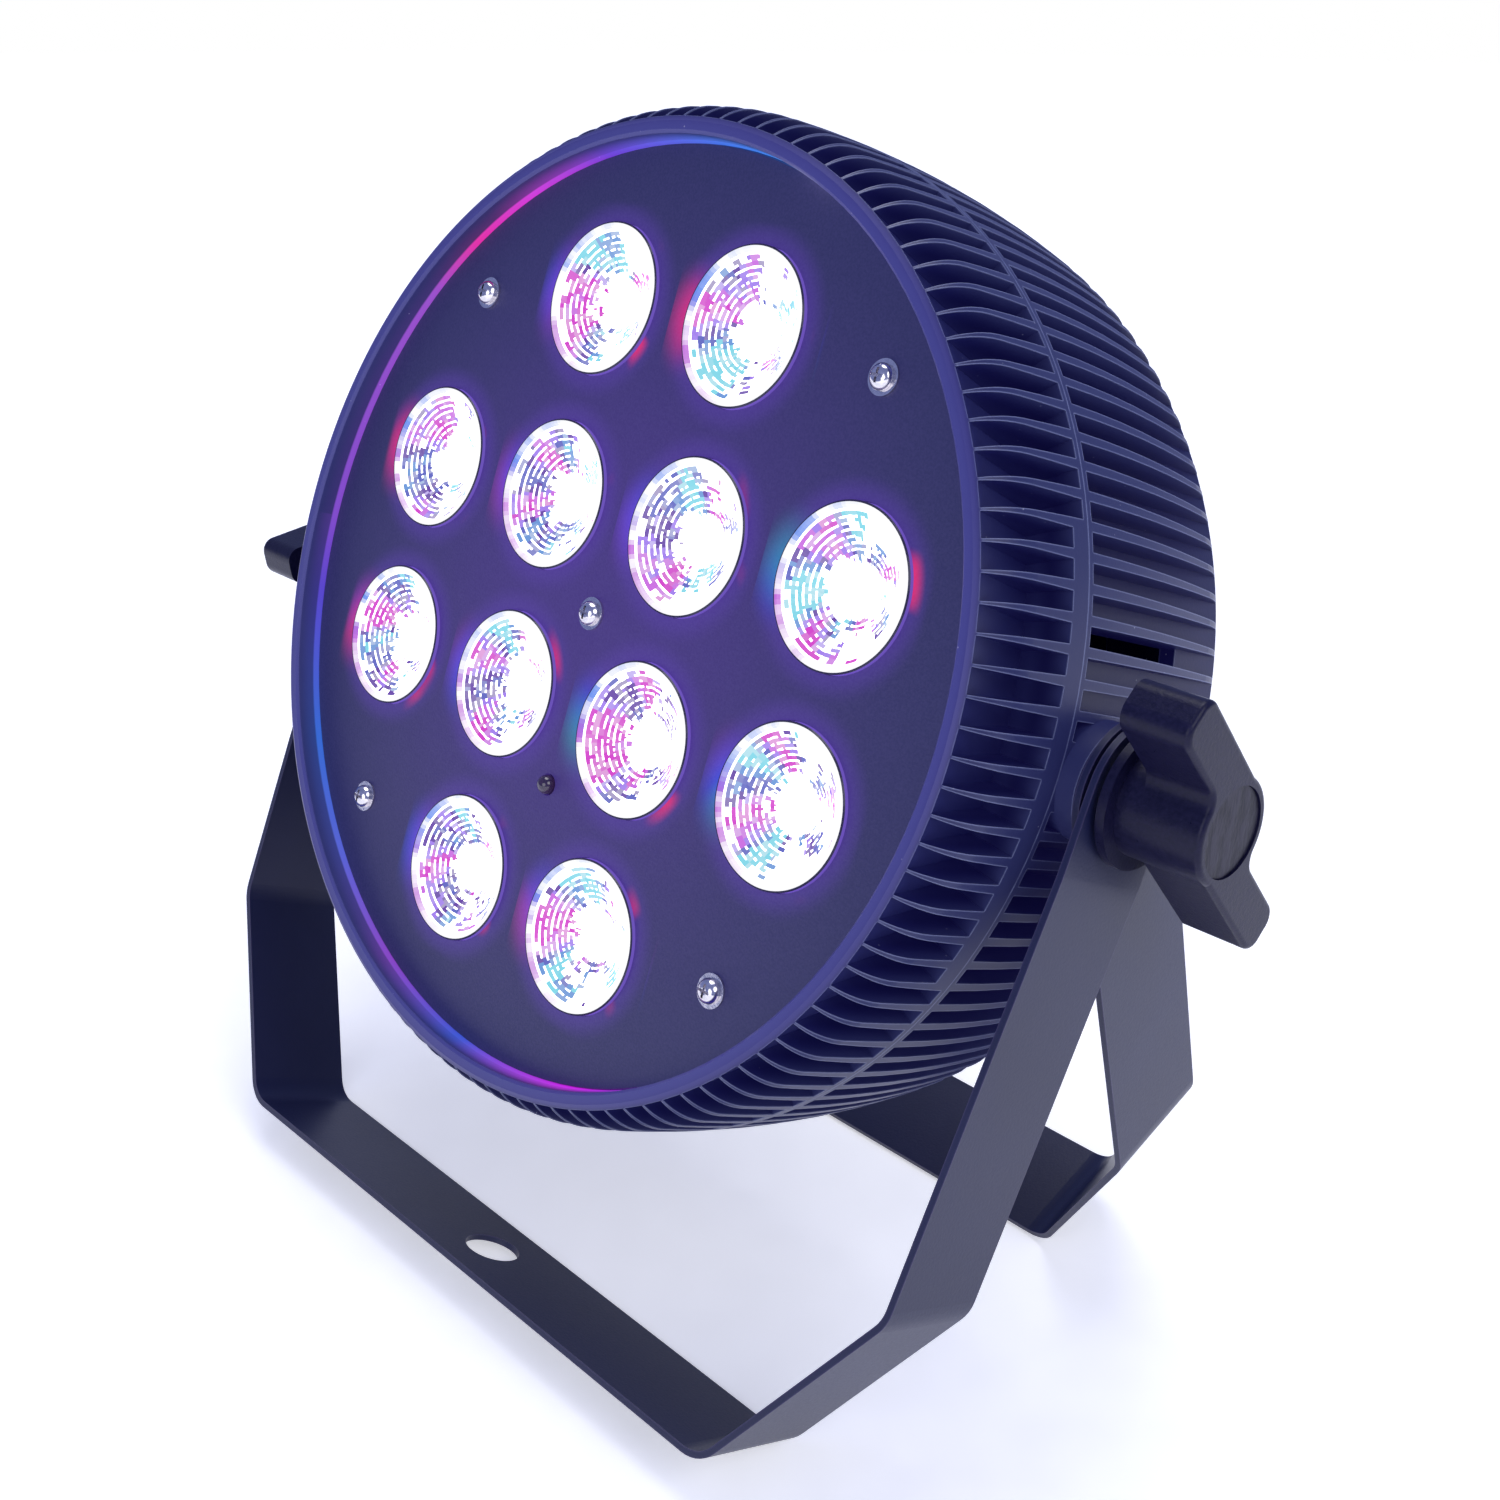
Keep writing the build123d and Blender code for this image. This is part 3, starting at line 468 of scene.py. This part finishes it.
SHELL = shell_plastic()
PANEL = panel_paint()
BRACKET = bracket_paint()
KNOB = knob_plastic()
CAP = knob_cap_plastic()
STEEL = plain("screw_steel", (0.80, 0.76, 0.78), (0.62, 0.60, 0.62), 0.16, 900.0, 1.0)
BLACK_STEEL = plain("black_steel", (0.05, 0.05, 0.06), (0.02, 0.02, 0.03), 0.35, 900.0, 0.6)
ZINC = washer_plating()
NYLON = plain("washer_plastic", (0.04, 0.04, 0.06), (0.02, 0.02, 0.03), 0.35)
ALUMINIUM = plain("turned_aluminium", (0.74, 0.75, 0.77), (0.58, 0.59, 0.61), 0.32, 500.0, 1.0)
BRASS = plain("pin_brass", (0.78, 0.60, 0.30), (0.62, 0.46, 0.20), 0.25, 800.0, 1.0)
INNER = plain("inner_plastic", (0.035, 0.035, 0.045), (0.02, 0.02, 0.03), 0.45)
SOCKET_PLASTIC = plain("socket_plastic", (0.03, 0.03, 0.035), (0.015, 0.015, 0.02), 0.28)
SOCKET_METAL = plain("socket_metal", (0.07, 0.07, 0.08), (0.04, 0.04, 0.05), 0.38, 1200.0, 0.4)
RUBBER = plain("button_rubber", (0.09, 0.09, 0.10), (0.06, 0.06, 0.07), 0.6, 1500.0)
EYE = plain("ir_plastic", (0.05, 0.02, 0.06), (0.02, 0.01, 0.04), 0.12, 300.0, Coat_Weight=0.6)
GLASS = plain("display_glass", (0.03, 0.01, 0.01), (0.015, 0.005, 0.005), 0.1, 200.0, Coat_Weight=1.0)
DISPLAY = plain("display_body", (0.12, 0.02, 0.02), (0.08, 0.01, 0.01), 0.3)
BOARD = circuit_board()
EMITTER = emitter()
OPTIC = lens_optic()

SLOT_MATERIALS = {
    "shell_plastic": SHELL, "panel_paint": PANEL, "bracket_paint": BRACKET,
    "knob_plastic": KNOB, "knob_cap_plastic": CAP, "lens_acrylic": OPTIC,
    "inner_plastic": INNER, "screw_steel": STEEL, "black_steel": BLACK_STEEL,
    "washer_steel": ZINC, "washer_plastic": NYLON, "turned_aluminium": ALUMINIUM,
    "circuit_board": BOARD, "led_emitter": EMITTER, "ir_plastic": EYE,
    "display_glass": GLASS, "display_body": DISPLAY, "button_rubber": RUBBER,
    "socket_plastic": SOCKET_PLASTIC, "socket_metal": SOCKET_METAL, "pin_brass": BRASS,
}


def dress_cad_nodes():
    """Gives every CAD node the material of its slot."""
    for part in frame["record"]["subparts"]:
        data = NODES[part["node"]].data
        data.materials.clear()
        data.materials.append(SLOT_MATERIALS[part["material_slot"]])


# ---------------------------------------------------------------------------- lenses
RINGS = 8
SEGMENTS = 96
CONE_END_R = 6.0 * MM
FLANGE_WIDTH = 1.2 * MM
FLANGE_FRONT = 2.5 * MM
CHAMFER = 0.1 * MM
OUTLINE = 0.42 * MM
LIP = 1.0 * MM
STEP_IN = 0.5 * MM
BOWL_TOP = 1.1 * MM
BOWL_DEPTH = 5.2 * MM
BOWL_FLOOR_R = 5.6 * MM
DOME_HEIGHT = 1.4 * MM
DOME_RINGS = 4
DOME_NARROWING = 0.96
BOWL_CURVE = 0.9
FACET_SHARE = 0.68
FACET_WOBBLE = 0.09 * MM
WHITE_LINES = 0.7
# The colours below are painted light: the optic glows OPTIC_GLOW times as bright as written here.
WHITE = (1.0, 1.0, 1.0)
DARK = (0.003, 0.002, 0.012)
EDGE_GLOW = (0.045, 0.025, 0.15)
RIM_WHITE = 0.33
RIM_BLUE = (0.03, 0.08, 0.27)
RIM_MAGENTA = (0.17, 0.03, 0.22)
PALE = 0.30
DASHES = (
    (0.075, 0.225, 0.26), (0.050, 0.105, 0.22), (0.040, 0.045, 0.17), (0.045, 0.018, 0.12),
    (0.120, 0.070, 0.27), (0.195, 0.050, 0.24), (0.215, 0.016, 0.19),
)


def fade(value, full, gone):
    """1 up to the value called full, falling evenly to 0 at gone."""
    return min(1.0, max(0.0, (gone - value) / (gone - full)))


def dash_chance(reach, angle, drift):
    """How likely a facet is coloured: in a C open to the right, with two arms that reach right.

    Reach is 1 at the lens edge, and drift makes the pattern of each lens its own.
    """
    across, up = reach * cos(angle), reach * sin(angle)
    curl = fade(abs(reach - 0.68), 0.14, 0.32) * fade(cos(angle), -0.30, 0.30)
    span = fade(abs(across - 0.28), 0.34, 0.52)
    arms = 0.7 * span * max(fade(abs(up - 0.30), 0.05, 0.17), fade(abs(up + 0.36), 0.05, 0.17))
    cluster = noise.noise(Vector((across * 3.2, up * 3.2, drift)))
    return 1.25 * max(curl, arms) + 0.8 * cluster - 0.04


def ring_lights(random_source, reach, drift):
    """Colours round one ring of facets, in dashes of one to three facets."""
    lights = []
    while len(lights) < SEGMENTS:
        angle = 2 * pi * len(lights) / SEGMENTS
        colour = WHITE
        if random_source.random() < dash_chance(reach, angle, drift):
            hue = noise.noise(Vector((cos(angle) * 1.5, sin(angle) * 1.5 + reach, drift + 9)))
            place = (hue * 1.35 + 0.5) * len(DASHES) + random_source.uniform(-0.6, 0.6)
            colour = DASHES[min(len(DASHES) - 1, max(0, int(place)))]
            paler = random_source.choice((0.0, 0.05, 0.15, 0.35))
            colour = [channel + (PALE - channel) * paler for channel in colour]
        lights += [colour] * random_source.choice((1, 2, 2, 3))
    return lights[:SEGMENTS]


def rim_light(angle, drift):
    """The outermost band: white, with streaks on the left, blue above and magenta below."""
    streak = 0.5 + 1.6 * noise.noise(Vector((cos(angle) * 4.5, sin(angle) * 4.5, drift)))
    left = max(0.0, -cos(angle)) * min(1.0, max(0.0, streak))
    above = min(1.0, max(0.0, 0.5 + 1.5 * sin(angle)))
    hue = [high * above + low * (1 - above) for high, low in zip(RIM_BLUE, RIM_MAGENTA)]
    return tuple(RIM_WHITE * (1 - left) + channel * left for channel in hue)


def build_lens(index):
    """One closed lens body: cone, flange, dark-edged rim, stepped and faceted bowl, domed floor."""
    name = f"lens_{index:02d}"
    low, high = head_box(name)
    centre_x, centre_z = (low.x + high.x) / 2, (low.z + high.z) / 2
    flange = (high.x - low.x) / 2
    outer = flange - FLANGE_WIDTH
    front = low.y
    random_source = random.Random(index)
    drift = index * 3.7

    mesh = bmesh.new()
    layer = mesh.loops.layers.float_color.new("light")
    rows = []

    def ring(radius, depth, wobble=0.0):
        row = []
        for step in range(SEGMENTS):
            angle = 2 * pi * step / SEGMENTS
            reach = radius + random_source.uniform(-wobble, wobble)
            place = Vector((centre_x + reach * cos(angle), depth, centre_z + reach * sin(angle)))
            row.append(mesh.verts.new(HEAD @ place))
        rows.append(row)

    def colour_face(face, colour):
        for loop in face.loops:
            loop[layer] = (*colour, 1.0)

    def skin(lights):
        first, second = rows[-2], rows[-1]
        for step in range(SEGMENTS):
            following = (step + 1) % SEGMENTS
            face = mesh.faces.new((first[step], first[following], second[following], second[step]))
            colour_face(face, lights[step])

    rims = [rim_light(2 * pi * (step + 0.5) / SEGMENTS, drift) for step in range(SEGMENTS)]
    for radius, depth in (
        (CONE_END_R, high.y), (outer - 0.3 * MM, front + 3.8 * MM), (flange, front + 3.7 * MM),
        (flange, front + FLANGE_FRONT + CHAMFER), (outer, front + FLANGE_FRONT),
    ):
        ring(radius, depth)
        if len(rows) > 1:
            skin([DARK] * SEGMENTS)
    ring(outer, front + 0.25 * MM)
    skin([EDGE_GLOW] * SEGMENTS)
    ring(outer - 0.20 * MM, front)
    skin([DARK] * SEGMENTS)
    ring(outer - OUTLINE, front + 0.03 * MM)
    skin([DARK] * SEGMENTS)
    ring(outer - LIP, front + 0.1 * MM)
    skin(rims)
    bowl_r = outer - LIP - STEP_IN
    ring(bowl_r, front + 0.9 * MM)
    skin(rims)
    bowl_r -= STEP_IN
    ring(bowl_r, front + BOWL_TOP)
    skin([WHITE] * SEGMENTS)
    for step in range(RINGS):
        reach = (bowl_r + (BOWL_FLOOR_R - bowl_r) * step / RINGS) / outer
        lights = ring_lights(random_source, reach, drift)
        lines = [WHITE if random_source.random() < WHITE_LINES else light for light in lights]
        for part, colours in (FACET_SHARE, lights), (1.0, lines):
            share = (step + part) / RINGS
            radius = bowl_r + (BOWL_FLOOR_R - bowl_r) * share
            depth = front + BOWL_TOP + BOWL_DEPTH * share ** BOWL_CURVE
            ring(radius, depth, wobble=FACET_WOBBLE)
            skin(colours)
    for step in range(1, DOME_RINGS + 1):
        share = step / DOME_RINGS
        dome = BOWL_DEPTH - DOME_HEIGHT * sin(share * pi / 2)
        ring(BOWL_FLOOR_R * (1 - DOME_NARROWING * share), front + BOWL_TOP + dome)
        skin([WHITE] * SEGMENTS)
    colour_face(mesh.faces.new(rows[-1]), WHITE)
    colour_face(mesh.faces.new(reversed(rows[0])), DARK)
    bmesh.ops.recalc_face_normals(mesh, faces=mesh.faces)
    made = add_object(f"{name}_optic", mesh)
    made.data.materials.append(OPTIC)
    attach(made, "head")
    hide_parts(name)


dress_cad_nodes()
for number in range(1, 13):
    build_lens(number)
